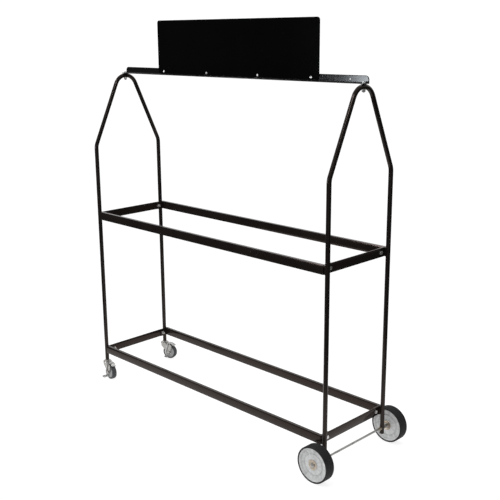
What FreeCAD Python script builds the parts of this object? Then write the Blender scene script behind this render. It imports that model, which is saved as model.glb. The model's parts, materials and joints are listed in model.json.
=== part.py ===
import FreeCAD, Part
import Sketcher
import math
import os

# Wheeled saddle rack: two bent tube end hoops, two levels of long rails on end
# rails, a ridge angle over the hoops that carries a header panel, a fixed axle
# with two large wheels at the right end and two braked swivel casters at the
# left end. Millimetres. +X runs along the rack towards the large wheels, +Y
# towards the back, +Z up. The origin is on the floor under the middle of the
# overall box.

V = FreeCAD.Vector
doc = FreeCAD.newDocument("saddle_rack")

# ------------------------------------------------------------------ parameters
PARAMS = [
    ("left_x", -755.0), ("right_x", 700.0), ("leg_spacing", 381.0),
    ("tube_od", 19.05), ("tube_wall", 1.65), ("bend_radius", 63.5),
    ("shoulder_level", 1181.13), ("ridge_seat", 1531.05),
    ("left_leg_end", 95.2), ("right_leg_end", 51.0),
    ("low_level", 136.0), ("mid_level", 834.0),
    ("rail_height", 38.1), ("rail_depth", 12.7), ("rail_wall", 1.65),
    ("end_inset", 13.7), ("plate_thick", 3.2), ("tab_length", 52.0),
    ("pad_width", 12.0), ("rail_bolt_y", 160.0),
    ("bolt_dia", 8.0), ("bolt_hole", 8.4), ("hex_flats", 13.0),
    ("head_thick", 5.3), ("nut_thick", 6.5), ("rail_bolt_length", 22.0),
    ("angle_size", 30.0), ("angle_thick", 3.0), ("ridge_length", 1477.0), ("ridge_shift", 3.5),
    ("ridge_corner", 16.0), ("ridge_bolt_length", 35.0),
    ("panel_width", 984.0), ("panel_height", 238.0), ("panel_thick", 2.0),
    ("panel_bottom", 1537.5), ("panel_shift", 10.5), ("panel_corner", 12.5), ("screw_shift", 9.0),
    ("panel_screw_outer", 451.5), ("panel_screw_inner", 157.5),
    ("panel_screw_height", 1545.8), ("screw_dia", 6.0), ("screw_hole", 6.4), ("spare_hole", 7.0), ("spare_inset", 75.0),
    ("wheel_radius", 76.2), ("wheel_width", 44.45), ("tyre_inner", 69.6),
    ("wheel_centre", 244.0), ("hub_inner", 20.5), ("hub_outer", 17.5),
    ("boss_radius", 24.5), ("bearing_seat", 17.0), ("bearing_depth", 12.0),
    ("axle_dia", 9.525), ("axle_half", 269.0), ("collar_dia", 15.9),
    ("collar_length", 12.0),
    ("caster_radius", 38.1), ("caster_width", 24.0), ("caster_trail", 32.0),
    ("caster_core", 29.0), ("caster_front_turn", -5.0),
    ("caster_back_turn", 20.0), ("cup_radius", 21.2), ("cup_top", 93.2),
    ("fork_gap", 14.0), ("fork_thick", 2.5), ("crown_level", 79.0),
    ("kingpin_dia", 10.0), ("stem_dia", 11.0), ("stem_top", 133.0),
]
sheet = doc.addObject("Spreadsheet::Sheet", "Params")
for row, (alias, value) in enumerate(PARAMS, 1):
    sheet.set("A%d" % row, alias)
    sheet.set("B%d" % row, str(value))
    sheet.setAlias("B%d" % row, alias)
doc.recompute()


class Q:
    """A size that carries both its expression text and its value."""

    def __init__(self, text, value):
        self.text, self.value = text, float(value)

    def _two(self, other, sign, value):
        return Q("(%s %s %s)" % (self.text, sign, txt(other)), value)

    def __add__(self, o):
        return self._two(o, "+", self.value + num(o))

    def __radd__(self, o):
        return Q("(%s + %s)" % (txt(o), self.text), num(o) + self.value)

    def __sub__(self, o):
        return self._two(o, "-", self.value - num(o))

    def __rsub__(self, o):
        return Q("(%s - %s)" % (txt(o), self.text), num(o) - self.value)

    def __mul__(self, o):
        return self._two(o, "*", self.value * num(o))

    def __rmul__(self, o):
        return Q("(%s * %s)" % (txt(o), self.text), num(o) * self.value)

    def __truediv__(self, o):
        return self._two(o, "/", self.value / num(o))

    def __neg__(self):
        return Q("(0 - %s)" % self.text, -self.value)


def num(q):
    return q.value if isinstance(q, Q) else float(q)


def txt(q):
    if isinstance(q, Q):
        return q.text
    return "(0 - %r)" % abs(float(q)) if float(q) < 0 else "%r" % float(q)


def P(alias):
    return Q("Params." + alias, sheet.get(alias))


NODES = []
ALL = []


def node(obj, label):
    obj.Label = label
    NODES.append(obj)
    return obj


def put(obj, x, y, z, rot=None):
    obj.Placement = FreeCAD.Placement(V(num(x), num(y), num(z)), rot or FreeCAD.Rotation())
    for axis, q in (("x", x), ("y", y), ("z", z)):
        if isinstance(q, Q):
            obj.setExpression("Placement.Base." + axis, q.text)
    return obj


def sizes(obj, **kw):
    for name, q in kw.items():
        setattr(obj, name, num(q))
        if isinstance(q, Q):
            obj.setExpression(name, q.text)
    return obj


TURN = {
    "z": FreeCAD.Rotation(),
    "x": FreeCAD.Rotation(V(0, 1, 0), 90),
    "y": FreeCAD.Rotation(V(1, 0, 0), -90),
}
count = [0]


def fresh(kind, name):
    count[0] += 1
    obj = doc.addObject(kind, "%s_%d" % (name, count[0]))
    ALL.append(obj)
    return obj


def box(x0, x1, y0, y1, z0, z1, name="block"):
    o = fresh("Part::Box", name)
    sizes(o, Length=x1 - x0, Width=y1 - y0, Height=z1 - z0)
    return put(o, x0, y0, z0)


def cyl(r, length, x, y, z, axis="z", name="round"):
    o = fresh("Part::Cylinder", name)
    sizes(o, Radius=r, Height=length)
    return put(o, x, y, z, TURN[axis])


def prism(across, length, x, y, z, axis="z", spin=0.0, name="hexagon"):
    o = fresh("Part::Prism", name)
    o.Polygon = 6
    sizes(o, Circumradius=across / math.sqrt(3), Height=length)
    return put(o, x, y, z, TURN[axis].multiply(FreeCAD.Rotation(V(0, 0, 1), spin)))


def fuse(parts, name="joined"):
    o = fresh("Part::MultiFuse", name)
    o.Shapes = parts
    return o


def cut(base, tools, name="cut"):
    tool = tools if not isinstance(tools, list) else (tools[0] if len(tools) == 1 else fuse(tools))
    o = fresh("Part::Cut", name)
    o.Base = base
    o.Tool = tool
    return o


def group(parts, name="set"):
    o = fresh("Part::Compound", name)
    o.Links = parts
    return o


def new_body(name):
    return fresh("PartDesign::Body", name)


def profile(body, role, points, name="Profile"):
    """A closed outline through points, each tied to its sizes."""
    sk = body.newObject("Sketcher::SketchObject", "%s_%s" % (body.Name, name))
    plane = [f for f in body.Origin.OriginFeatures if f.Role == role][0]
    sk.AttachmentSupport = [(plane, "")]
    sk.MapMode = "FlatFace"
    n = len(points)
    for i in range(n):
        a, b = points[i], points[(i + 1) % n]
        sk.addGeometry(Part.LineSegment(V(num(a[0]), num(a[1]), 0), V(num(b[0]), num(b[1]), 0)), False)
    for i in range(n):
        sk.addConstraint(Sketcher.Constraint("Coincident", i, 2, (i + 1) % n, 1))
    for i, pt in enumerate(points):
        for k, kind in ((0, "DistanceX"), (1, "DistanceY")):
            if abs(num(pt[k])) < 1e-9:
                sk.addConstraint(Sketcher.Constraint("PointOnObject", i, 1, -2 if k == 0 else -1))
            else:
                c = sk.addConstraint(Sketcher.Constraint(kind, -1, 1, i, 1, num(pt[k])))
                if isinstance(pt[k], Q):
                    sk.setExpression("Constraints[%d]" % c, pt[k].text)
    ALL.append(sk)
    return sk


def turned(name, points):
    """A solid of revolution about the body's Z axis; points are (radius, height)."""
    b = new_body(name)
    sk = profile(b, "XZ_Plane", points)
    rev = b.newObject("PartDesign::Revolution", b.Name + "_Turn")
    rev.Profile = sk
    rev.ReferenceAxis = (sk, ["V_Axis"])
    rev.Angle = 360.0
    ALL.append(rev)
    return b


def padded(name, role, points, length, both=False):
    b = new_body(name)
    sk = profile(b, role, points)
    pad = b.newObject("PartDesign::Pad", b.Name + "_Pad")
    pad.Profile = sk
    sizes(pad, Length=length)
    if both:
        pad.Midplane = True
    ALL.append(pad)
    return b, pad


def edges_where(shape, test):
    return ["Edge%d" % i for i, e in enumerate(shape.Edges, 1) if test(e)]


def along(e, axis):
    d = e.Vertexes[-1].Point.sub(e.Vertexes[0].Point)
    return len(e.Vertexes) == 2 and d.Length > 1e-6 and abs(abs(getattr(d, axis)) - d.Length) < 1e-6


def rounded(body, base, names, size, kind="Fillet"):
    f = body.newObject("PartDesign::" + kind, body.Name + "_" + kind + str(count[0]))
    count[0] += 1
    f.Base = (base, names)
    sizes(f, **({"Radius": size} if kind == "Fillet" else {"Size": size}))
    ALL.append(f)
    return f


half = P("leg_spacing") / 2
tube_r = P("tube_od") / 2
LEFT, RIGHT = P("left_x"), P("right_x")
middle = (LEFT + RIGHT) / 2
FRONT, BACK = -1, 1

# ------------------------------------------------------------------ end hoops
# Each hoop is one bent tube: two upright legs, a shoulder bend in each leg and
# a tight bend at the apex, all to one radius. The apex centreline sits one
# tube radius under the ridge seat.


def hoop(x, foot, label, axle_hole):
    b = new_body(label + "_body")
    hw, zb, r = num(half), num(P("shoulder_level")), num(P("bend_radius"))
    za = num(P("ridge_seat")) - num(tube_r) - r
    # tangent line between a shoulder arc and the apex arc, on the right side
    dy, dz = hw - r, za - zb
    a = math.atan2(dy, dz)
    out = V(math.cos(a), math.sin(a), 0)
    centres = [V(r - hw, zb, 0), V(0, za, 0), V(hw - r, zb, 0)]
    left_out = V(-out.x, out.y, 0)
    hits = [
        V(-hw, num(foot), 0), V(-hw, zb, 0), centres[0] + left_out * r, centres[1] + left_out * r,
        centres[1] + out * r, centres[2] + out * r, V(hw, zb, 0), V(hw, num(foot), 0),
    ]
    path = b.newObject("Sketcher::SketchObject", b.Name + "_Path")
    path.AttachmentSupport = [([f for f in b.Origin.OriginFeatures if f.Role == "YZ_Plane"][0], "")]
    path.MapMode = "FlatFace"
    geometry = []
    for i in range(7):
        p, q = hits[i], hits[i + 1]
        if i % 2 == 0:
            geometry.append(Part.LineSegment(p, q))
        else:
            c = centres[i // 2]
            m = ((p - c) + (q - c)).normalize() * r + c
            geometry.append(Part.Arc(p, m, q))
    for g in geometry:
        path.addGeometry(g, False)
    start, end, here = [], [], hits[0]
    for i in range(7):
        first = path.getPoint(i, 1).sub(here).Length < path.getPoint(i, 2).sub(here).Length
        start.append(1 if first else 2)
        end.append(2 if first else 1)
        here = path.getPoint(i, end[i])
    for i in range(6):
        path.addConstraint(Sketcher.Constraint("Tangent", i, end[i], i + 1, start[i + 1]))
    path.addConstraint(Sketcher.Constraint("Vertical", 0))
    path.addConstraint(Sketcher.Constraint("Vertical", 6))
    path.addConstraint(Sketcher.Constraint("PointOnObject", 3, 3, -2))

    def bind(sketch, kind, args, q):
        c = sketch.addConstraint(Sketcher.Constraint(kind, *(list(args) + [num(q)])))
        sketch.setExpression("Constraints[%d]" % c, txt(q))

    bind(path, "DistanceX", (0, start[0], -1, 1), half)
    bind(path, "DistanceX", (-1, 1, 6, end[6]), half)
    bind(path, "DistanceY", (-1, 1, 0, start[0]), foot)
    bind(path, "DistanceY", (-1, 1, 6, end[6]), foot)
    for i in (1, 3, 5):
        bind(path, "Radius", (i,), P("bend_radius"))
    for i in (1, 5):
        bind(path, "DistanceY", (-1, 1, i, 3), P("shoulder_level"))
    bind(path, "DistanceY", (-1, 1, 3, 3), P("ridge_seat") - tube_r - P("bend_radius"))
    section = b.newObject("Sketcher::SketchObject", b.Name + "_Section")
    section.AttachmentSupport = [([f for f in b.Origin.OriginFeatures if f.Role == "XY_Plane"][0], "")]
    section.MapMode = "FlatFace"
    section.AttachmentOffset = FreeCAD.Placement(V(0, 0, num(foot)), FreeCAD.Rotation())
    section.setExpression("AttachmentOffset.Base.z", txt(foot))
    for radius in (tube_r, tube_r - P("tube_wall")):
        g = section.addGeometry(Part.Circle(V(0, -hw, 0), V(0, 0, 1), num(radius)), False)
        section.addConstraint(Sketcher.Constraint("PointOnObject", g, 3, -2))
        bind(section, "DistanceY", (g, 3, -1, 1), half)
        bind(section, "Radius", (g,), radius)
    doc.recompute()
    pipe = b.newObject("PartDesign::AdditivePipe", b.Name + "_Tube")
    pipe.Profile = section
    pipe.Spine = (path, ["Edge%d" % i for i in range(1, 8)])
    doc.recompute()
    ALL.extend([path, section, pipe])
    wanted = math.pi * (num(tube_r) ** 2 - (num(tube_r) - num(P("tube_wall"))) ** 2) * path.Shape.Length
    assert abs(pipe.Shape.Volume / wanted - 1) < 0.001, (label, pipe.Shape.Volume, wanted)
    put(b, x, 0, 0)
    tools = [cyl(P("bolt_hole") / 2, 60.0, x, 0, P("ridge_seat") - 40)]
    if axle_hole:
        tools.append(cyl(P("axle_dia") / 2 + 0.2, 600.0, x, -300, P("wheel_radius"), "y"))
    return node(cut(b, tools), label)


hoop(LEFT, P("left_leg_end"), "left_end_hoop", False)
hoop(RIGHT, P("right_leg_end"), "right_end_hoop", True)

# ------------------------------------------------------------------ end rails
# A flat bar across each pair of legs, held off the tubes by two coped pads
# that are welded to them.
side_y = half + tube_r
for end, x, way in (("left", LEFT, 1), ("right", RIGHT, -1)):
    for level, z in (("low", P("low_level")), ("mid", P("mid_level"))):
        near = x + way * P("end_inset")
        far = x + way * (P("end_inset") + P("plate_thick"))
        lo, hi = (near, far) if way > 0 else (far, near)
        bits = [box(lo, hi, -side_y, side_y, z, z + P("rail_height"))]
        a, b = (x + 4.0, near) if way > 0 else (near, x - 4.0)
        tools = []
        for s in (FRONT, BACK):
            y = s * half
            bits.append(box(a, b, y - P("pad_width") / 2, y + P("pad_width") / 2, z, z + P("rail_height")))
            tools.append(cyl(tube_r, P("rail_height") + 2, x, y, z - 1))
            tools.append(cyl(P("bolt_hole") / 2, 20.0, lo - 8, s * P("rail_bolt_y"), z + P("rail_height") / 2, "x"))
        node(cut(fuse(bits), tools), "%s_%s_end_rail" % (level, end))

# ------------------------------------------------------------------ long rails
# Rectangular tube with a flat tab welded across each end; the tabs reach
# inboard so that a bolt can pass through tab and end rail. Two drain holes
# underneath.
tab_l = LEFT + P("end_inset") + P("plate_thick")
tab_r = RIGHT - P("end_inset") - P("plate_thick")
for face, s in (("front", FRONT), ("back", BACK)):
    for level, z in (("low", P("low_level")), ("mid", P("mid_level"))):
        z1 = z + P("rail_height")
        y0, y1 = (-side_y, P("rail_depth") - side_y) if s < 0 else (side_y - P("rail_depth"), side_y)
        w = P("rail_wall")
        t0, t1 = (-side_y, P("tab_length") - side_y) if s < 0 else (side_y - P("tab_length"), side_y)
        outer = box(tab_l, tab_r, y0, y1, z, z1)
        inner = box(tab_l + P("plate_thick"), tab_r - P("plate_thick"), y0 + w, y1 - w, z + w, z1 - w)
        tube = cut(outer, inner)
        tabs = [
            box(tab_l, tab_l + P("plate_thick"), t0, t1, z, z1),
            box(tab_r - P("plate_thick"), tab_r, t0, t1, z, z1),
        ]
        tools = []
        for x in (tab_l, tab_r):
            tools.append(cyl(P("bolt_hole") / 2, 20.0, x - 10, s * P("rail_bolt_y"), z + P("rail_height") / 2, "x"))
        for x in (tab_l + 30.0, tab_r - 30.0):
            tools.append(cyl(3.0, 4.0, x, (y0 + y1) / 2, z - 2))
        node(cut(fuse([tube] + tabs), tools), "%s_%s_rail" % (level, face))

# bolts, lock washers and nuts of the eight rail joints
heads, rings, nuts = [], [], []
for end, x, way in (("left", LEFT, 1), ("right", RIGHT, -1)):
    for s in (FRONT, BACK):
        for z in (P("low_level"), P("mid_level")):
            y, zc = s * P("rail_bolt_y"), z + P("rail_height") / 2
            seat = x + way * P("end_inset")
            back = seat + way * (2 * P("plate_thick"))
            shank_x = seat if way > 0 else seat - P("rail_bolt_length")
            head_x = seat - P("head_thick") if way > 0 else seat
            heads.append(fuse([
                prism(P("hex_flats"), P("head_thick"), head_x, y, zc, "x", 12.0 + 37 * len(heads)),
                cyl(P("bolt_dia") / 2, P("rail_bolt_length"), shank_x, y, zc, "x"),
            ]))
            ring_x = back if way > 0 else back - 2.0
            rings.append(cut(cyl(6.8, 2.0, ring_x, y, zc, "x"), cyl(P("bolt_dia") / 2 + 0.2, 4.0, ring_x - 1, y, zc, "x")))
            nut_x = back + 2.0 if way > 0 else back - 2.0 - P("nut_thick")
            nuts.append(cut(
                prism(P("hex_flats"), P("nut_thick"), nut_x, y, zc, "x", 5.0 + 23 * len(nuts)),
                cyl(P("bolt_dia") / 2 + 0.03, P("nut_thick") + 2, nut_x - 1, y, zc, "x"),
            ))
node(group(heads), "rail_bolts")
node(group(rings), "rail_lock_washers")
node(group(nuts), "rail_nuts")

# ------------------------------------------------------------------ ridge angle
# An equal angle lies over the two apexes: its level flange rests on them and
# its upright flange stands along the back edge.
seat = P("ridge_seat")
edge = P("angle_size") / 2
body, pad = padded("RidgeAngle", "YZ_Plane", [
    (-edge, seat), (edge, seat), (edge, seat + P("angle_size")),
    (edge - P("angle_thick"), seat + P("angle_size")),
    (edge - P("angle_thick"), seat + P("angle_thick")),
    (-edge, seat + P("angle_thick")),
], P("ridge_length"), both=True)
doc.recompute()
top = num(seat) + num(P("angle_size"))
hx = num(P("ridge_length")) / 2
corner = edges_where(pad.Shape, lambda e: along(e, "y") and abs(e.CenterOfMass.z - top) < 1e-4 and abs(abs(e.CenterOfMass.x) - hx) < 1e-4)
feat = rounded(body, pad, corner, P("ridge_corner"))
doc.recompute()
root_edge = edges_where(feat.Shape, lambda e: along(e, "x") and abs(e.CenterOfMass.y - (num(edge) - num(P("angle_thick")))) < 1e-4 and abs(e.CenterOfMass.z - (num(seat) + num(P("angle_thick")))) < 1e-4)
feat = rounded(body, feat, root_edge, 2.5)
doc.recompute()
toes = edges_where(feat.Shape, lambda e: along(e, "x") and (
    (abs(e.CenterOfMass.z - top) < 1e-4 and e.CenterOfMass.y < num(edge) - 1)
    or (abs(e.CenterOfMass.y + num(edge)) < 1e-4 and e.CenterOfMass.z > num(seat) + 1)))
feat = rounded(body, feat, toes, 2.2)
doc.recompute()
put(body, middle + P("ridge_shift"), 0, 0)
holes = [cyl(P("bolt_hole") / 2, 20.0, x, 0, seat - 8) for x in (LEFT, RIGHT)]
screw_x = [middle + P("screw_shift") + k * P(n) for k, n in ((-1, "panel_screw_outer"), (-1, "panel_screw_inner"), (1, "panel_screw_inner"), (1, "panel_screw_outer"))]
screw_z = P("panel_screw_height")
for x in screw_x:
    holes.append(cyl(P("screw_hole") / 2, 16.0, x, 4, screw_z, "y"))
# one spare hole near the right end of the upright flange
holes.append(cyl(P("spare_hole") / 2, 16.0, RIGHT - P("spare_inset"), 4, screw_z, "y"))
node(cut(body, holes), "ridge_angle")

# the two bolts that hold the ridge down on the apexes
heads, rings, nuts = [], [], []
under = seat - P("tube_od")
for x in (LEFT, RIGHT):
    top_z = seat + P("angle_thick")
    heads.append(fuse([
        prism(P("hex_flats"), P("head_thick"), x, 0, top_z, "z", 11.0),
        cyl(P("bolt_dia") / 2, P("ridge_bolt_length"), x, 0, top_z - P("ridge_bolt_length")),
    ]))
    # a saddle washer with a concave top that fits under the bent tube
    w0 = under - 3.4
    saddle = cyl(8.0, 4.2, x, 0, w0)
    bore = cyl(P("bolt_dia") / 2 + 0.2, 12.0, x, 0, w0 - 2)
    bend = fresh("Part::Torus", "bend")
    sizes(bend, Radius1=P("bend_radius"), Radius2=tube_r + 0.05)
    put(bend, x, 0, seat - tube_r - P("bend_radius"), TURN["x"])
    rings.append(cut(saddle, [bore, bend]))
    nuts.append(cut(
        prism(P("hex_flats"), P("nut_thick"), x, 0, w0 - P("nut_thick"), "z", 24.0),
        cyl(P("bolt_dia") / 2 + 0.03, P("nut_thick") + 2, x, 0, w0 - P("nut_thick") - 1),
    ))
node(group(heads), "ridge_bolts")
node(group(rings), "ridge_saddle_washers")
node(group(nuts), "ridge_nuts")

# ------------------------------------------------------------------ header panel
pw = P("panel_width") / 2
body, pad = padded("HeaderPanel", "XZ_Plane", [(-pw, P("panel_bottom")), (pw, P("panel_bottom")), (pw, P("panel_bottom") + P("panel_height")), (-pw, P("panel_bottom") + P("panel_height"))], P("panel_thick"))
doc.recompute()
feat = rounded(body, pad, edges_where(pad.Shape, lambda e: along(e, "y")), P("panel_corner"))
doc.recompute()
face_y = edge - P("angle_thick")
put(body, middle + P("panel_shift"), face_y, 0)
holes = [cyl(P("screw_hole") / 2, 16.0, x, face_y - 8, screw_z, "y") for x in screw_x]
node(cut(body, holes), "header_panel")
panel_front = face_y - P("panel_thick")

screws, rings, nuts = [], [], []
for x in screw_x:
    # truss head screw, its head against the panel
    screw = turned("TrussScrew", [
        (0, -3.2), (2.6, -2.95), (4.6, -2.2), (6.0, -0.9), (6.2, 0.0),
        (P("screw_dia") / 2, 0.0), (P("screw_dia") / 2, 16.0), (0, 16.0),
    ])
    put(screw, x, panel_front, screw_z, TURN["y"])
    slot = box(x - 7, x + 7, panel_front - 4, panel_front - 2.1, screw_z - 0.6, screw_z + 0.6)
    cross = box(x - 0.6, x + 0.6, panel_front - 4, panel_front - 2.1, screw_z - 7, screw_z + 7)
    screws.append(cut(screw, [slot, cross]))
    rings.append(cut(cyl(6.0, 1.4, x, edge, screw_z, "y"), cyl(P("screw_dia") / 2 + 0.2, 4.0, x, edge - 1, screw_z, "y")))
    nuts.append(cut(prism(10.0, 5.0, x, edge + 1.4, screw_z, "y", 17.0), cyl(P("screw_dia") / 2 + 0.03, 8.0, x, edge, screw_z, "y")))
node(group(screws), "panel_screws")
node(group(rings), "panel_washers")
node(group(nuts), "panel_nuts")

# ------------------------------------------------------------------ wheel axle
axle_z = P("wheel_radius")
axle_r = P("axle_dia") / 2
axle = turned("WheelAxle", [
    (0, -P("axle_half")), (axle_r - 1, -P("axle_half")), (axle_r, 1 - P("axle_half")),
    (axle_r, P("axle_half") - 1), (axle_r - 1, P("axle_half")), (0, P("axle_half")),
])
put(axle, RIGHT, 0, axle_z, TURN["y"])
node(axle, "wheel_axle")


def ring(inner_r, outer_r, y0, y1):
    lo, hi = (y0, y1) if num(y0) < num(y1) else (y1, y0)
    return cut(cyl(outer_r, hi - lo, RIGHT, lo, axle_z, "y"), cyl(inner_r, hi - lo + 4, RIGHT, lo - 2, axle_z, "y"))


leg_in, leg_out = half - tube_r, half + tube_r
hub_in = P("wheel_centre") - P("hub_inner")
hub_out = P("wheel_centre") + P("hub_outer")
collars, spacers, thin, caps = [], [], [], []
for s in (FRONT, BACK):
    collars.append(cut(
        ring(axle_r + 0.1, P("collar_dia") / 2, s * (leg_in - 0.1), s * (leg_in - 0.1 - P("collar_length"))),
        cyl(1.6, 12.0, RIGHT, s * (leg_in - 6.0), axle_z + axle_r + 0.3),
    ))
    spacers.append(ring(axle_r + 0.1, 7.0, s * (leg_out + 0.1), s * (hub_in - 3.4)))
    thin.append(ring(axle_r + 0.1, 10.0, s * (hub_in - 3.3), s * (hub_in - 1.7)))
    thin.append(ring(axle_r + 0.1, 10.0, s * (hub_out + 1.7), s * (hub_out + 3.3)))
    # domed push-on cap over the end of the axle
    c0 = hub_out + 3.4
    cap = turned("PushCap", [
        (axle_r + 0.02, 0.0), (10.5, 0.0), (10.5, 0.9), (8.2, 1.4), (7.4, 3.4),
        (5.6, 5.4), (3.0, 6.4), (0, 6.7), (0, 5.6), (2.6, 5.2), (axle_r + 0.02, 4.4),
    ])
    put(cap, RIGHT, s * c0, axle_z, TURN["y"] if s > 0 else FreeCAD.Rotation(V(1, 0, 0), 90))
    caps.append(cap)
node(group(collars), "axle_collars")
node(group(spacers), "axle_spacers")
node(group(thin), "wheel_washers")
node(group(caps), "axle_caps")

# ------------------------------------------------------------------ large wheels
wr, ti = P("wheel_radius"), P("tyre_inner")
hw = P("wheel_width") / 2
WHEEL_TURN = {FRONT: FreeCAD.Rotation(V(1, 0, 0), 90), BACK: TURN["y"]}
for s, face in ((FRONT, "front"), (BACK, "back")):
    tyre = turned("Tyre", [
        (ti, -hw + 0.6), (ti + 1.4, -hw), (wr - 1.5, -hw), (wr - 0.4, -hw + 0.5), (wr, -hw + 1.6),
        (wr, -17.2), (wr - 1.2, -16.5), (wr - 1.2, -15.1), (wr, -14.4),
        (wr, -10.2), (wr - 1.2, -9.5), (wr - 1.2, -8.1), (wr, -7.4),
        (wr, -1.4), (wr - 1.2, -0.7), (wr - 1.2, 0.7), (wr, 1.4),
        (wr, 7.4), (wr - 1.2, 8.1), (wr - 1.2, 9.5), (wr, 10.2),
        (wr, 14.4), (wr - 1.2, 15.1), (wr - 1.2, 16.5), (wr, 17.2),
        (wr, hw - 1.6), (wr - 0.4, hw - 0.5), (wr - 1.5, hw), (ti + 1.4, hw), (ti, hw - 0.6),
    ])
    put(tyre, RIGHT, s * P("wheel_centre"), axle_z, WHEEL_TURN[s])
    node(tyre, "%s_wheel_tyre" % face)
    # moulded hub: rim lip, dished web and a boss bored for two bearings
    bs, bd = P("bearing_seat"), P("bearing_depth")
    ho, hi = P("hub_outer"), -P("hub_inner")
    br = P("boss_radius")
    hub = turned("WheelHub", [
        (8.0, hi + bd), (bs, hi + bd), (bs, hi), (br - 1.5, hi), (br, hi + 1.5),
        (br + 1.5, -16.4), (42.0, -13.6), (43.6, -10.8), (48.8, -10.8), (50.6, -12.4), (60.0, -13.6), (64.0, -19.0), (ti - 0.8, -hw + 0.9), (ti, -hw + 1.7),
        (ti, hw - 1.7), (ti - 0.8, hw - 0.9), (64.0, 19.0), (60.0, 13.6), (50.6, 12.4), (48.8, 10.8), (43.6, 10.8), (42.0, 13.6), (br + 1.5, 16.0),
        (br, ho - 1.5), (br - 1.5, ho), (bs, ho), (bs, ho - bd), (8.0, ho - bd),
    ])
    put(hub, RIGHT, s * P("wheel_centre"), axle_z, WHEEL_TURN[s])
    node(hub, "%s_wheel_hub" % face)
    # flanged bearing cups, one pressed into each end of the boss
    cups = []
    for up, level in ((1, ho), (-1, hi)):
        c = turned("BearingCup", [
            (axle_r + 0.05, 1.4), (10.2, 1.4), (11.0, 0.3), (13.0, 0.3), (13.8, 1.5), (20.6, 1.5), (21.2, 0.9), (21.2, 0.0),
            (bs, 0.0), (bs, -10.0), (bs - 1.6, -11.0), (axle_r + 0.05, -11.0),
        ])
        turn = WHEEL_TURN[s] if up > 0 else WHEEL_TURN[s].multiply(FreeCAD.Rotation(V(1, 0, 0), 180))
        put(c, RIGHT, s * (P("wheel_centre") + level), axle_z, turn)
        cups.append(c)
    node(group(cups), "%s_wheel_bearings" % face)

# ------------------------------------------------------------------ casters
# Drawn about the stem: local +x trails from the stem to the caster axle, local
# y runs along the caster axle. Each caster is then turned about its stem.
cr, cw, tr = P("caster_radius"), P("caster_width") / 2, P("caster_trail")
core_r, gap, ft = P("caster_core"), P("fork_gap"), P("fork_thick")
crown, ctop = P("crown_level"), P("cup_top")


def set_down(obj, s, turn, label):
    put(obj, LEFT, s * half, 0, FreeCAD.Rotation(V(0, 0, 1), num(turn)))
    return node(obj, label)


def shifted(obj, x, y, z, rot=None):
    return put(obj, x, y, z, rot)


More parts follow.
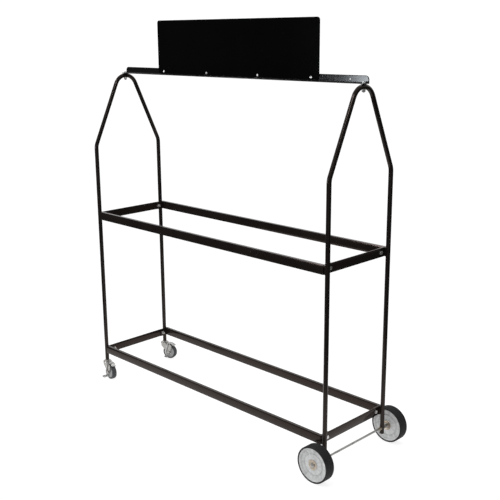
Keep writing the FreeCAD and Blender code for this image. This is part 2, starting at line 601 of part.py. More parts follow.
for s, face, turn in ((FRONT, "front", P("caster_front_turn")), (BACK, "back", P("caster_back_turn"))):
    pre = face + "_caster_"
    bore_r = tube_r - P("tube_wall") - 0.05
    stem_r, king_r = P("stem_dia") / 2, P("kingpin_dia") / 2
    # split sleeve that fills the foot of the leg and grips the stem
    sleeve = turned("Socket", [
        (stem_r + 0.03, ctop), (tube_r, ctop), (tube_r, P("left_leg_end")), (bore_r, P("left_leg_end")),
        (bore_r, 136.0), (bore_r - 1.2, 138.0), (stem_r + 0.03, 138.0),
    ])
    set_down(sleeve, s, turn, pre + "socket")
    # stem with a ring groove above and the kingpin below, its end riveted over
    stem = turned("Stem", [
        (0, P("stem_top")), (stem_r - 1.5, P("stem_top")), (stem_r, P("stem_top") - 1.5),
        (stem_r, 127.0), (stem_r - 1.0, 126.0), (stem_r - 1.0, 123.5), (stem_r, 122.5),
        (stem_r, ctop), (king_r, ctop), (king_r, crown - 0.1), (7.4, crown - 0.1), (6.6, crown - 2.0), (4.0, crown - 2.9), (0, crown - 2.9),
    ])
    set_down(stem, s, turn, pre + "stem")
    # inverted cup with the upper ball track
    cup = turned("TopCup", [
        (king_r, ctop), (8.6, ctop), (10.4, ctop - 1.4), (16.0, ctop - 2.2), (19.6, ctop - 3.8), (21.2, ctop - 6.6), (21.2, 80.6),
        (19.7, 80.6), (19.2, 84.6), (17.4, 86.8), (15.0, 87.2), (12.6, 86.8), (10.8, 84.8), (king_r, 84.4),
    ])
    set_down(cup, s, turn, pre + "top_cup")
    # fork: pressed crown with the lower ball track, and two side plates
    crown_disc = turned("Crown", [
        (king_r + 0.06, crown), (18.4, crown), (18.9, crown + 0.6), (18.9, crown + 2.5), (17.2, crown + 3.4), (15.0, crown + 3.0), (12.8, crown + 3.4), (10.6, crown + 4.6), (king_r + 0.06, crown + 4.6),
    ])
    plate_pts = [
        (-13.0, crown + 0.2), (-11.6, crown + 1.3), (22.0, crown + 1.3), (26.0, crown + 6.0), (31.0, crown + 5.0), (38.0, crown + 4.2), (44.0, crown + 1.0), (48.5, crown - 5.0),
        (49.0, crown - 11.0), (47.0, crown - 17.0), (tr + 10.4, 46.0), (tr + 10.4, 39.0), (tr + 8.0, 31.6), (tr + 2.0, 27.9), (tr - 4.6, 29.0), (tr - 9.6, 34.6), (-12.4, crown - 9.0),
    ]
    sides = []
    for k in (-1, 1):
        b, pad = padded("ForkSide", "XZ_Plane", plate_pts, ft)
        put(b, 0, gap + ft if k > 0 else -gap, 0)
        sides.append(b)
    bridge = box(-11.6, 12.0, -gap - ft, gap + ft, crown, crown + 1.3)
    bridge_hole = cyl(king_r + 0.06, 12.0, 0, 0, crown - 4)
    bolt_holes = [cyl(4.1, 60.0, tr, -30, cr, "y"), cyl(2.6, 60.0, 26.5, -30, crown + 1.0, "y")]
    fork = cut(fuse([crown_disc, cut(bridge, bridge_hole)] + sides), bolt_holes)
    set_down(fork, s, turn, pre + "fork")
    # ball ring between the two tracks
    balls = []
    for i in range(14):
        ball = fresh("Part::Sphere", "ball")
        sizes(ball, Radius=2.45)
        a = 2 * math.pi * i / 14
        put(ball, 15.0 * math.cos(a), 15.0 * math.sin(a), crown + 3.0 + 2.6)
        balls.append(ball)
    set_down(group(balls), s, turn, pre + "balls")
    # tread, core and axle sleeve
    along_y = TURN["y"]

    def wheel_part(points, label):
        b = turned("CasterWheel", points)
        shifted(b, tr, 0, cr, along_y)
        set_down(group([b]), s, turn, label)

    wheel_part([
        (core_r, -cw + 0.8), (core_r + 1.2, -cw), (cr - 4.2, -cw), (cr - 1.6, -cw + 1.6), (cr - 0.4, -cw + 4.4), (cr, -cw + 8.0),
        (cr, cw - 8.0), (cr - 0.4, cw - 4.4), (cr - 1.6, cw - 1.6), (cr - 4.2, cw), (core_r + 1.2, cw), (core_r, cw - 0.8),
    ], pre + "tread")
    wheel_part([
        (5.06, -13.4), (8.6, -13.4), (9.4, -12.6), (9.8, -8.6), (12.0, -8.0), (22.5, -8.0), (24.6, -9.0), (25.6, -11.2), (core_r, -11.2),
        (core_r, 11.2), (25.6, 11.2), (24.6, 9.0), (22.5, 8.0), (12.0, 8.0), (9.8, 8.6), (9.4, 12.6), (8.6, 13.4), (5.06, 13.4),
    ], pre + "core")
    sleeve2 = cut(cyl(5.0, 2 * gap - 0.04, tr, 0.02 - gap, cr, "y"), cyl(4.03, 2 * gap + 4, tr, -gap - 2, cr, "y"))
    set_down(sleeve2, s, turn, pre + "axle_sleeve")
    bolt = fuse([
        prism(P("hex_flats"), 5.3, tr, -gap - ft - 5.3, cr, "y", 9.0),
        cyl(4.0, 2 * (gap + ft) + 8.5, tr, -gap - ft, cr, "y"),
    ])
    set_down(bolt, s, turn, pre + "axle_bolt")
    nut = cut(prism(P("hex_flats"), 7.2, tr, gap + ft, cr, "y", 21.0), cyl(4.03, 10.0, tr, gap + ft - 1, cr, "y"))
    set_down(nut, s, turn, pre + "axle_nut")
    # brake: a pedal on a cross pin over the tread, with a shoe beneath it and a
    # release arm that runs down outside the fork to a foot tab
    px, pz = 26.5, crown + 1.0
    top_pts = [
        (23.0, pz + 5.2), (40.0, pz + 5.2), (50.0, pz + 2.6), (62.0, pz - 5.6), (63.4, pz - 4.0), (51.2, pz + 4.8), (40.4, pz + 7.4), (23.0, pz + 7.4),
    ]
    top_plate, pad = padded("PedalTop", "XZ_Plane", top_pts, 21.0)
    put(top_plate, 0, 10.5, 0)
    ears = []
    for k in (-1, 1):
        ear, pad = padded("PedalEar", "XZ_Plane", [(23.0, pz + 6.2), (23.0, pz - 1.6), (25.0, pz - 2.9), (28.5, pz - 2.9), (40.0, pz + 5.6), (40.0, pz + 6.2)], 2.0)
        put(ear, 0, 13.4 if k > 0 else -11.4, 0)
        ears.append(ear)
    ears.append(box(23.0, 40.0, -13.4, 13.4, pz + 5.2, pz + 7.4))
    shoe, pad = padded("PedalShoe", "XZ_Plane", [(41.0, pz + 5.6), (41.0, pz - 1.4), (46.0, pz - 3.2), (51.0, pz - 5.6), (51.0, pz + 3.0)], 18.0)
    put(shoe, 0, 9.0, 0)
    reach = box(23.0, 31.0, -21.4, -13.0, pz + 5.2, pz + 7.4)
    arm, pad = padded("ReleaseArm", "XZ_Plane", [
        (23.0, pz + 7.4), (31.0, pz + 7.4), (30.0, pz - 6.0), (23.2, 58.0), (19.4, 42.0), (21.4, 27.0), (29.0, 20.4), (29.0, 17.6), (19.0, 21.0), (13.6, 28.0), (11.6, 42.0), (16.6, 60.0), (22.6, pz - 5.0),
    ], 2.2)
    put(arm, 0, -19.2, 0)
    tab, pad = padded("FootTab", "XZ_Plane", [(19.0, 21.0), (29.0, 17.6), (38.0, 17.6), (38.0, 19.8), (29.4, 19.8), (19.6, 23.2)], 27.0)
    put(tab, 0, -19.2, 0)
    pin_hole = cyl(2.56, 60.0, px, -30, pz, "y")
    lever = cut(fuse([top_plate, shoe, reach, arm, tab] + ears), pin_hole)
    set_down(lever, s, turn, pre + "brake_lever")
    pin = fuse([
        cyl(2.5, 2 * (gap + ft) + 0.2, px, -gap - ft - 0.1, pz, "y"),
        cyl(4.0, 1.4, px, gap + ft + 0.1, pz, "y"),
        cyl(4.0, 1.4, px, -gap - ft - 1.5, pz, "y"),
    ])
    set_down(pin, s, turn, pre + "brake_pin")

# ------------------------------------------------------------------ write
doc.recompute()
for o in doc.Objects:
    bad = [word for word in o.State if word in ("Invalid", "Error")]
    if bad:
        raise RuntimeError("%s (%s) is %s" % (o.Label, o.Name, bad))
labels = [o.Label for o in NODES]
assert len(labels) == len(set(labels)) and len(labels) <= 60
for o in NODES:
    if o.Shape.isNull() or not o.Shape.isValid() or not o.Shape.Solids:
        raise RuntimeError("%s has no valid solid" % o.Label)
os.makedirs("parts", exist_ok=True)
for o in NODES:
    o.Shape.exportStep("parts/%s.step" % o.Label)
box_all = FreeCAD.BoundBox()
for o in NODES:
    box_all.add(o.Shape.BoundBox)
print("nodes", len(NODES), box_all)
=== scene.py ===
import json
import math

import bpy
from mathutils import Matrix, Vector

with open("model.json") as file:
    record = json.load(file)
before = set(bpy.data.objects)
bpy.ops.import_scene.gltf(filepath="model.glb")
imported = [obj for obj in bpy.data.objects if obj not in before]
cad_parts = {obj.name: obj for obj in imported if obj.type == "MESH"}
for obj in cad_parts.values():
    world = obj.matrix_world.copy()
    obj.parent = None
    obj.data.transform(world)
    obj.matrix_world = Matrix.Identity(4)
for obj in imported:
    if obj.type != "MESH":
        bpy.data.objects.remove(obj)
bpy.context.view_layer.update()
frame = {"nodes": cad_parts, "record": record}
nodes = frame["nodes"]


# ---------------------------------------------------------------- node helpers
class Graph:
    """A small builder for shader node trees."""

    def __init__(self, name):
        self.mat = bpy.data.materials.new(name)
        self.mat.use_nodes = True
        self.nt = self.mat.node_tree
        self.nt.nodes.clear()
        self.x = 0
        self.co = self.node("ShaderNodeTexCoord").outputs["Object"]
        self.geo = self.node("ShaderNodeNewGeometry")

    def node(self, kind, inputs=None, **settings):
        n = self.nt.nodes.new(kind)
        n.location = (self.x, 0)
        self.x += 180
        for k, v in settings.items():
            setattr(n, k, v)
        for k, v in (inputs or {}).items():
            self.plug(n.inputs[k], v)
        return n

    def plug(self, socket, value):
        if isinstance(value, bpy.types.NodeSocket):
            self.nt.links.new(value, socket)
        elif value is not None:
            if socket.type == "RGBA" and not isinstance(value, (int, float)):
                value = tuple(value) + (1.0,) * (4 - len(value))
            socket.default_value = value

    def stretch(self, scale, offset=(0, 0, 0)):
        return self.node(
            "ShaderNodeMapping",
            {"Vector": self.co, "Scale": scale, "Location": offset},
        ).outputs["Vector"]

    def noise(self, scale, detail=3.0, rough=0.55, vec=None, distort=0.0):
        return self.node(
            "ShaderNodeTexNoise",
            {
                "Vector": self.co if vec is None else vec,
                "Scale": scale,
                "Detail": detail,
                "Roughness": rough,
                "Distortion": distort,
            },
        ).outputs["Fac"]

    def cells(self, scale, feature="F1", out="Distance", vec=None, randomness=1.0):
        n = self.node("ShaderNodeTexVoronoi", feature=feature)
        self.plug(n.inputs["Vector"], self.co if vec is None else vec)
        self.plug(n.inputs["Scale"], scale)
        self.plug(n.inputs["Randomness"], randomness)
        return n.outputs[out]

    def remap(self, value, a, b, c=0.0, d=1.0, smooth=False):
        n = self.node("ShaderNodeMapRange", clamp=True)
        if smooth:
            n.interpolation_type = "SMOOTHSTEP"
        for k, v in zip(
            ("Value", "From Min", "From Max", "To Min", "To Max"), (value, a, b, c, d)
        ):
            self.plug(n.inputs[k], v)
        return n.outputs["Result"]

    def math(self, op, a, b=0.0, c=0.0):
        n = self.node("ShaderNodeMath", operation=op)
        for i, v in enumerate((a, b, c)):
            self.plug(n.inputs[i], v)
        return n.outputs[0]

    def vmath(self, op, a, b=None):
        n = self.node("ShaderNodeVectorMath", operation=op)
        self.plug(n.inputs[0], a)
        if b is not None:
            self.plug(n.inputs[1], b)
        return n

    def split(self, vec):
        return self.node("ShaderNodeSeparateXYZ", {"Vector": vec}).outputs

    def mix(self, fac, a, b, blend="MIX"):
        n = self.node("ShaderNodeMix", data_type="RGBA", blend_type=blend)
        self.plug(n.inputs["Factor"], fac)
        cols = [s for s in n.inputs if s.type == "RGBA"]
        self.plug(cols[0], a)
        self.plug(cols[1], b)
        return [s for s in n.outputs if s.type == "RGBA"][0]

    def ramp(self, fac, stops):
        n = self.node("ShaderNodeValToRGB", {"Fac": fac})
        r = n.color_ramp
        while len(r.elements) < len(stops):
            r.elements.new(0.5)
        for e, (p, col) in zip(r.elements, stops):
            e.position = p
            e.color = tuple(col) + (1.0,)
        return n.outputs["Color"]

    def bump(self, height, strength, distance, normal=None):
        n = self.node("ShaderNodeBump", {"Height": height, "Strength": strength, "Distance": distance})
        if normal is not None:
            self.plug(n.inputs["Normal"], normal)
        return n.outputs["Normal"]

    def edge(self, radius, samples=4):
        n = self.node("ShaderNodeBevel", samples=samples)
        self.plug(n.inputs["Radius"], radius)
        return n.outputs["Normal"]

    def finish(self, **inputs):
        p = self.node("ShaderNodeBsdfPrincipled")
        for k, v in inputs.items():
            self.plug(p.inputs[k.replace("_", " ")], v)
        out = self.node("ShaderNodeOutputMaterial")
        self.nt.links.new(p.outputs["BSDF"], out.inputs["Surface"])
        return self.mat


# ------------------------------------------------------------------- materials
def enamel(name, dark, light, rough, peel, dust, soft_edge=0.0006, spec=0.30, tint=(1.0, 0.80, 0.72),
           crown=0.0, sparkle=0.25):
    """Sprayed enamel on steel: orange peel, slow gloss changes, hairlines, scuffs and settled dust."""
    g = Graph(name)
    up = g.split(g.geo.outputs["Normal"])[2]
    slow = g.noise(7.0, 4.0, 0.6)
    body = g.mix(g.remap(slow, 0.35, 0.68), dark, light)
    fleck = g.remap(g.noise(2600.0, 1.0, 0.5), 0.60, 0.74)
    body = g.mix(g.math("MULTIPLY", fleck, sparkle), body, tuple(c * 2.4 + 0.004 for c in light))
    patch = g.remap(g.noise(26.0, 5.0, 0.7, distort=0.6), 0.62, 0.72, smooth=True)
    lines = g.remap(g.cells(46.0, "DISTANCE_TO_EDGE", vec=g.stretch((1, 1, 0.35))), 0.010, 0.0)
    sparse = g.remap(g.noise(9.0, 2.0), 0.58, 0.66)
    hair = g.math("MULTIPLY", lines, sparse)
    body = g.mix(g.math("MULTIPLY", hair, 0.35), body, (0.11, 0.105, 0.10))
    body = g.mix(g.math("MULTIPLY", patch, 0.18), body, (0.06, 0.057, 0.054))
    settle = g.math("MULTIPLY", g.remap(up, 0.55, 0.98), g.remap(g.noise(95.0, 4.0, 0.65), 0.30, 0.75))
    body = g.mix(g.math("MULTIPLY", settle, dust), body, (0.20, 0.19, 0.175))
    r = g.remap(slow, 0.3, 0.7, rough * 0.85, rough * 1.2)
    r = g.math("ADD", r, g.math("MULTIPLY", patch, 0.13))
    r = g.math("ADD", r, g.math("MULTIPLY", settle, dust * 1.2))
    r = g.math("ADD", r, g.math("MULTIPLY", hair, 0.2))
    base = g.edge(soft_edge) if soft_edge else g.geo.outputs["Normal"]
    if crown:
        # rolled flat tube: each side is slightly crowned about its own mid height
        z = g.split(g.co)[2]
        mid = g.math("GREATER_THAN", z, 0.5)
        off = g.math("SUBTRACT", z, g.math("ADD", g.math("MULTIPLY", mid, 0.698), 0.15505))
        base = g.bump(g.math("MULTIPLY", g.math("MULTIPLY", off, off), -crown), 1.0, 1.0, base)
    n1 = g.bump(g.noise(420.0, 2.0, 0.45), peel, 0.0005, base)
    n2 = g.bump(g.noise(1500.0, 1.0, 0.5), peel * 0.4, 0.00016, n1)
    n3 = g.bump(g.math("MULTIPLY", hair, -1.0), 0.2, 0.0001, n2)
    return g.finish(
        Base_Color=body, Roughness=r, IOR=1.48, Specular_IOR_Level=spec, Specular_Tint=tint, Normal=n3
    )


def panel_gloss(name):
    """Smooth baked gloss on a flat sheet: nearly black, with faint wiping marks and specks."""
    g = Graph(name)
    slow = g.noise(3.0, 3.0, 0.5)
    body = g.mix(g.remap(slow, 0.3, 0.7), (0.0012, 0.0012, 0.0013), (0.0022, 0.0022, 0.0024))
    swirl = g.noise(14.0, 4.0, 0.6, distort=1.5)
    speck = g.remap(g.cells(210.0), 0.10, 0.055)
    keep = g.remap(g.noise(40.0, 1.0), 0.60, 0.66)
    speck = g.math("MULTIPLY", speck, keep)
    body = g.mix(g.math("MULTIPLY", speck, 0.22), body, (0.05, 0.05, 0.048))
    r = g.remap(swirl, 0.35, 0.7, 0.08, 0.10)
    r = g.math("ADD", r, g.math("MULTIPLY", speck, 0.25))
    n1 = g.bump(g.noise(260.0, 2.0, 0.4), 0.012, 0.0004)
    return g.finish(
        Base_Color=body, Roughness=r, IOR=1.42, Specular_IOR_Level=0.18, Normal=n1
    )


def plated(name, tone, warm, rough, spangle, dull=0.0, grain=(1, 1, 1), grain_scale=900.0, metallic=0.80):
    """Zinc plate over pressed or turned steel: cloudy tone, fine grain, spots of dull oxide."""
    g = Graph(name)
    cloud = g.noise(60.0, 4.0, 0.6)
    metal = g.mix(g.remap(cloud, 0.32, 0.70), tone, warm)
    cell = g.cells(520.0, out="Color")
    cell_v = g.split(cell)[0]
    metal = g.mix(g.math("MULTIPLY", cell_v, spangle), metal, tuple(min(1.0, c * 1.22) for c in tone))
    oxide = g.remap(g.noise(210.0, 5.0, 0.7), 0.60, 0.74)
    metal = g.mix(g.math("MULTIPLY", oxide, 0.30 + dull), metal, tuple(c * 0.55 for c in tone))
    fine = g.noise(grain_scale, 2.0, 0.5, vec=g.stretch(grain))
    r = g.remap(cloud, 0.3, 0.7, rough * 0.8, rough * 1.25)
    r = g.math("ADD", r, g.math("MULTIPLY", oxide, 0.22))
    n1 = g.bump(fine, 0.10, 0.0002, g.edge(0.0004))
    n2 = g.bump(g.noise(140.0, 2.0), 0.05, 0.0008, n1)
    return g.finish(Base_Color=metal, Metallic=metallic, Roughness=r, Normal=n2)


def chromate(name):
    """Yellow chromate over zinc: gold with pink and green blushes."""
    g = Graph(name)
    film = g.noise(150.0, 3.0, 0.55, distort=0.8)
    tint = g.ramp(
        film,
        [
            (0.28, (0.36, 0.31, 0.24)),
            (0.42, (0.50, 0.44, 0.31)),
            (0.52, (0.46, 0.35, 0.33)),
            (0.62, (0.36, 0.37, 0.28)),
            (0.74, (0.54, 0.48, 0.35)),
        ],
    )
    fine = g.noise(1100.0, 2.0)
    r = g.remap(film, 0.3, 0.7, 0.24, 0.42)
    n1 = g.bump(fine, 0.12, 0.0002, g.edge(0.0004))
    return g.finish(Base_Color=tint, Metallic=0.92, Roughness=r, Normal=n1)


def drawn_rod(name):
    """Cold-drawn steel: long streaks along the rod and a few grease smears."""
    g = Graph(name)
    streak = g.noise(1.0, 4.0, 0.6, vec=g.stretch((1500.0, 14.0, 1500.0)))
    metal = g.mix(g.remap(streak, 0.3, 0.7), (0.36, 0.36, 0.35), (0.56, 0.56, 0.54))
    smear = g.remap(g.noise(38.0, 4.0, 0.6), 0.58, 0.70)
    metal = g.mix(g.math("MULTIPLY", smear, 0.5), metal, (0.17, 0.155, 0.13))
    r = g.remap(streak, 0.3, 0.7, 0.26, 0.44)
    r = g.math("ADD", r, g.math("MULTIPLY", smear, 0.12))
    n1 = g.bump(streak, 0.12, 0.00012)
    return g.finish(Base_Color=metal, Metallic=1.0, Roughness=r, Normal=n1)


def polished(name):
    g = Graph(name)
    haze = g.noise(900.0, 3.0)
    metal = g.mix(g.remap(haze, 0.35, 0.7), (0.80, 0.80, 0.81), (0.66, 0.66, 0.68))
    return g.finish(Base_Color=metal, Metallic=1.0, Roughness=g.remap(haze, 0.3, 0.7, 0.05, 0.14))


def moulded(name, light, dark, rough, grime, grain=1200.0, spec=0.5, centre=None):
    """Moulded plastic: flow clouds, fine spark texture, grime in patches."""
    g = Graph(name)
    flow = g.noise(24.0, 4.0, 0.6, distort=0.8)
    body = g.mix(g.remap(flow, 0.33, 0.68), light, dark)
    if centre is not None:
        dx, dy, dz = g.split(g.vmath("SUBTRACT", g.co, centre).outputs[0])
        angle = g.math("ARCTAN2", dz, dx)
        reach = g.math("SQRT", g.math("ADD", g.math("MULTIPLY", dx, dx), g.math("MULTIPLY", dz, dz)))
        comb = g.node("ShaderNodeCombineXYZ", {"X": g.math("MULTIPLY", g.math("COSINE", angle), 1.0), "Y": g.math("SINE", angle), "Z": g.math("MULTIPLY", reach, 9.0)}).outputs[0]
        # painted light and shade: lighter and darker radial streaks across the hub disc stand in for the shading of
        # its ribs and dish
        ray = g.noise(4.2, 2.5, 0.55, vec=comb, distort=0.25)
        body = g.mix(g.remap(ray, 0.50, 0.74, 0.0, 0.62, smooth=True), body, tuple(c * 0.68 for c in dark))
        body = g.mix(g.remap(ray, 0.49, 0.28, 0.0, 0.75, smooth=True), body, tuple(min(0.9, c * 1.20) for c in light))
        # painted shade: a darker ring round the boss where the groove lies
        groove_shade = g.math("MULTIPLY", g.remap(reach, 0.0425, 0.0440), g.remap(reach, 0.0500, 0.0485))
        body = g.mix(g.math("MULTIPLY", groove_shade, 0.22), body, tuple(c * 0.55 for c in dark))
    rub = g.remap(g.noise(120.0, 5.0, 0.72), 0.55, 0.74)
    body = g.mix(g.math("MULTIPLY", rub, grime), body, tuple(c * 0.45 for c in dark))
    nick = g.remap(g.cells(150.0, "DISTANCE_TO_EDGE", vec=g.stretch((1.0, 1.0, 0.5))), 0.012, 0.0)
    nick = g.math("MULTIPLY", nick, g.remap(g.noise(60.0, 1.0), 0.60, 0.68))
    body = g.mix(g.math("MULTIPLY", nick, 0.4), body, tuple(c * 0.6 for c in dark))
    r = g.remap(flow, 0.3, 0.7, rough * 0.88, rough * 1.15)
    n1 = g.bump(g.noise(grain, 2.0, 0.5), 0.10, 0.0002, g.edge(0.0005))
    n2 = g.bump(flow, 0.04, 0.003, n1)
    return g.finish(
        Base_Color=body, Roughness=r, IOR=1.5, Specular_IOR_Level=spec, Normal=n2,
        Subsurface_Weight=0.0,
    )


def rubber(name, dark, light, dusty, rough):
    """Moulded rubber: fine pitting, scuffed and dusty where it rolls."""
    g = Graph(name)
    slow = g.noise(32.0, 4.0, 0.62)
    body = g.mix(g.remap(slow, 0.32, 0.7), dark, light)
    pits = g.cells(900.0)
    scuff = g.remap(g.noise(170.0, 5.0, 0.75), 0.52, 0.72)
    body = g.mix(g.math("MULTIPLY", scuff, dusty), body, (0.16, 0.15, 0.135))
    lint = g.remap(g.noise(1.0, 2.0, 0.5, vec=g.stretch((420.0, 90.0, 420.0))), 0.66, 0.76)
    body = g.mix(g.math("MULTIPLY", lint, dusty * 0.8), body, (0.22, 0.21, 0.19))
    r = g.remap(slow, 0.3, 0.7, rough * 0.9, min(1.0, rough * 1.1))
    n1 = g.bump(pits, 0.12, 0.0003, g.edge(0.0006))
    n2 = g.bump(g.noise(380.0, 3.0), 0.10, 0.0004, n1)
    return g.finish(Base_Color=body, Roughness=r, IOR=1.5, Specular_IOR_Level=0.35, Normal=n2)


library = {
    "black_paint": enamel(
        "rack_black_enamel", (0.0090, 0.0076, 0.0070), (0.0140, 0.0116, 0.0106), 0.20, 0.008, 0.06, soft_edge=0.0
    ),
    "panel_black": panel_gloss("header_gloss_black"),
    "bright_zinc": plated("zinc_bright", (0.60, 0.60, 0.595), (0.68, 0.665, 0.64), 0.38, 0.30),
    "caster_zinc": plated("zinc_caster", (0.37, 0.36, 0.345), (0.45, 0.43, 0.405), 0.32, 0.32, 0.15, metallic=0.92),
    # painted light: a brighter, less metallic copy of the bolt zinc, so the ridge bolts, nuts and washers look lit
    # from below
    "lit_zinc_copy": plated("zinc_painted_lit", (0.82, 0.82, 0.81), (0.88, 0.875, 0.86), 0.34, 0.25, metallic=0.55),
    "pedal_steel": plated("zinc_pedal", (0.46, 0.46, 0.46), (0.55, 0.545, 0.53), 0.38, 0.28, 0.15),
    "yellow_zinc": chromate("zinc_chromate"),
    "axle_steel": drawn_rod("rod_drawn"),
    "ball_steel": polished("ball_polished"),
    "hub_plastic": moulded(
        "hub_light_grey", (0.63, 0.632, 0.630), (0.55, 0.552, 0.550), 0.42, 0.14,
        centre=(0.7, 0.0, 0.0762),
    ),
    "tyre_rubber": rubber("tyre_black", (0.010, 0.010, 0.0105), (0.018, 0.018, 0.0185), 0.10, 0.78),
    "caster_core": moulded("caster_grey", (0.42, 0.425, 0.42), (0.34, 0.345, 0.34), 0.48, 0.25),
    "caster_tread": rubber("caster_rubber", (0.045, 0.046, 0.050), (0.070, 0.071, 0.075), 0.20, 0.70),
}

library["ridge_paint"] = enamel(
    "ridge_black_enamel", (0.0050, 0.0046, 0.0045), (0.0080, 0.0072, 0.0070), 0.14, 0.006, 0.04,
    soft_edge=0.0010, spec=0.42, tint=(0.96, 0.98, 1.0),
)
library["rail_paint"] = enamel(
    "rail_black_enamel", (0.0098, 0.0078, 0.0070), (0.0150, 0.0118, 0.0104), 0.15, 0.006, 0.05, crown=6.5, spec=0.29, tint=(1.0, 0.70, 0.60)
)
slots = {s["node"]: s["material_slot"] for s in frame["record"]["subparts"]}
slots["ridge_angle"] = "ridge_paint"
for name in nodes:
    if name.endswith("_rail"):
        slots[name] = "rail_paint"
    if ("_caster_" in name or name in ("axle_caps", "wheel_washers")) and slots[name] == "bright_zinc":
        slots[name] = "caster_zinc"
    # the ridge bolts, nuts and washers take the painted-light zinc copy
    if name in ("ridge_bolts", "ridge_nuts", "ridge_saddle_washers"):
        slots[name] = "lit_zinc_copy"
for name, obj in nodes.items():
    mat = library[slots[name]]
    if not obj.material_slots:
        obj.data.materials.append(mat)
    for s in obj.material_slots:
        s.material = mat


# ---------------------------------------------------------------------- studio
def sheet_mesh(name, size, cells, centre):
    n = cells + 1
    verts = [
        (centre[0] + (i / cells - 0.5) * size[0], centre[1] + (j / cells - 0.5) * size[1], 0.0)
        for j in range(n)
        for i in range(n)
    ]
    faces = [(j * n + i, j * n + i + 1, (j + 1) * n + i + 1, (j + 1) * n + i) for j in range(cells) for i in range(cells)]
    me = bpy.data.meshes.new(name)
    me.from_pydata(verts, [], faces)
    ob = bpy.data.objects.new(name, me)
    bpy.context.scene.collection.objects.link(ob)
    return ob


floor = sheet_mesh("floor", (2.75, 1.80), 12, (0.10, -0.06))
floor.location.z = -0.0005
g = Graph("floor_pale")
pale = g.mix(g.remap(g.noise(2.2, 4.0), 0.3, 0.7), (0.90, 0.90, 0.90), (0.87, 0.87, 0.868))
floor.data.materials.append(
    g.finish(
        Base_Color=g.mix(0.6, pale, (0.0, 0.0, 0.0)), Roughness=0.9, Specular_IOR_Level=0.0,
        Emission_Color=pale, Emission_Strength=0.93, Normal=g.bump(g.noise(160.0, 3.0), 0.05, 0.0005),
    )
)

world = bpy.data.worlds.new("studio")
bpy.context.scene.world = world
world.use_nodes = True
wt = world.node_tree
wt.nodes.clear()


def wnode(kind, **settings):
    n = wt.nodes.new(kind)
    for k, v in settings.items():
        setattr(n, k, v)
    return n


coord = wnode("ShaderNodeTexCoord").outputs["Generated"]
axes = wnode("ShaderNodeSeparateXYZ")
wt.links.new(coord, axes.inputs[0])


def sky_ramp(stops):
    """Radiance against height in the sky, straight down at 0 and straight up at 1."""
    r = wnode("ShaderNodeValToRGB")
    while len(r.color_ramp.elements) < len(stops):
        r.color_ramp.elements.new(0.5)
    for e, (p, v) in zip(r.color_ramp.elements, stops):
        e.position = p
        e.color = (v / 4.0, v / 4.0, v / 4.0, 1.0)
    wt.links.new(height.outputs["Result"], r.inputs["Fac"])
    return r.outputs["Color"]


def ranged(value, lo, hi):
    n = wnode("ShaderNodeMapRange", interpolation_type="SMOOTHSTEP")
    n.inputs["From Min"].default_value = lo
    n.inputs["From Max"].default_value = hi
    wt.links.new(value, n.inputs["Value"])
    return n


height = wnode("ShaderNodeMapRange")
for k, v in (("From Min", -1.0), ("From Max", 1.0), ("To Min", 0.0), ("To Max", 1.0)):
    height.inputs[k].default_value = v
wt.links.new(axes.outputs["Z"], height.inputs["Value"])
# the sweep behind the rack is lit, the room in front of it is dim
towards = wnode("ShaderNodeVectorMath", operation="DOT_PRODUCT")
wt.links.new(coord, towards.inputs[0])
towards.inputs[1].default_value = (-0.62, 0.785, 0.0)
lit = ranged(towards.outputs["Value"], 0.02, 0.45)
dim_room = sky_ramp([(0.0, 0.06), (0.36, 0.06), (0.46, 0.05), (0.56, 0.06), (0.70, 0.14), (0.86, 0.45), (1.0, 0.55)])
lit_sweep = sky_ramp([(0.0, 0.05), (0.44, 0.07), (0.50, 0.50), (0.56, 0.95), (0.66, 1.10), (0.80, 0.80), (0.90, 0.55), (1.0, 0.55)])
sides = wnode("ShaderNodeMix", data_type="RGBA")
wt.links.new(lit.outputs["Result"], sides.inputs["Factor"])
ends = [s for s in sides.inputs if s.type == "RGBA"]
wt.links.new(dim_room, ends[0])
wt.links.new(lit_sweep, ends[1])
soft = wnode("ShaderNodeBackground")
soft.inputs["Strength"].default_value = 4.0
wt.links.new([s for s in sides.outputs if s.type == "RGBA"][0], soft.inputs["Color"])
plain = wnode("ShaderNodeBackground")
plain.inputs["Color"].default_value = (1.0, 1.0, 1.0, 1.0)
plain.inputs["Strength"].default_value = 1.05
rays = wnode("ShaderNodeLightPath")
both = wnode("ShaderNodeMixShader")
wt.links.new(rays.outputs["Is Camera Ray"], both.inputs["Fac"])
wt.links.new(soft.outputs["Background"], both.inputs[1])
wt.links.new(plain.outputs["Background"], both.inputs[2])
wout = wnode("ShaderNodeOutputWorld")
wt.links.new(both.outputs["Shader"], wout.inputs["Surface"])


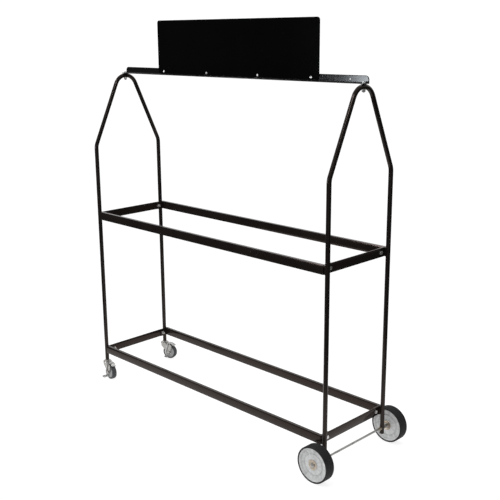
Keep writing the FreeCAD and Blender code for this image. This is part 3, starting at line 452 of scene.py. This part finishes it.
def softbox(name, at, towards, size, radiance, colour=(1, 1, 1)):
    la = bpy.data.lights.new(name, "AREA")
    la.shape = "RECTANGLE"
    la.size, la.size_y = size
    la.energy = radiance * math.pi * size[0] * size[1]
    la.color = colour
    ob = bpy.data.objects.new(name, la)
    bpy.context.scene.collection.objects.link(ob)
    d = (Vector(towards) - Vector(at)).normalized()
    ob.matrix_world = Matrix.Translation(Vector(at)) @ d.to_track_quat("-Z", "Y").to_matrix().to_4x4()
    ob.visible_camera = False
    return ob


softbox("key_front_left", (-1.00, -2.50, 1.44), (0.60, 0.0, 1.50), (0.44, 0.7), 19.0, (0.90, 0.95, 1.0))
softbox("over_front", (0.9, -1.9, 3.3), (0.1, 0.0, 0.9), (0.8, 0.45), 24.0)
softbox("over_left", (-1.9, -1.1, 3.2), (-0.4, 0.0, 0.9), (0.6, 0.35), 20.0)
softbox("fill_low", (3.9, -3.8, 0.5), (0.4, 0.0, 0.9), (2.6, 1.6), 0.5)
softbox("over_back", (0.3, 1.6, 3.6), (0.0, 0.0, 0.6), (2.0, 1.0), 2.5)

# ---------------------------------------------------------------------- camera
yaw, pitch, roll = math.radians(45.0583), math.radians(14.3639), math.radians(-0.3812)
forward = Vector((-math.sin(yaw) * math.cos(pitch), math.cos(yaw) * math.cos(pitch), -math.sin(pitch)))
right = Vector((math.cos(yaw), math.sin(yaw), 0.0))
up = right.cross(forward)
r2 = right * math.cos(roll) + up * math.sin(roll)
u2 = -right * math.sin(roll) + up * math.cos(roll)
cam_data = bpy.data.cameras.new("camera")
cam_data.sensor_fit = "HORIZONTAL"
cam_data.sensor_width = 36.0
cam_data.lens = 60.764
cam_data.clip_start = 0.05
cam_data.clip_end = 60.0
cam = bpy.data.objects.new("camera", cam_data)
bpy.context.scene.collection.objects.link(cam)
m = Matrix((r2, u2, -forward)).transposed().to_4x4()
m.translation = Vector((2.64839, -2.54464, 1.71286))
cam.matrix_world = m
bpy.context.scene.camera = cam

bpy.context.scene.view_settings.view_transform = "Standard"
bpy.context.scene.view_settings.look = "None"
bpy.context.scene.view_settings.exposure = 0.0
bpy.context.scene.view_settings.gamma = 1.0
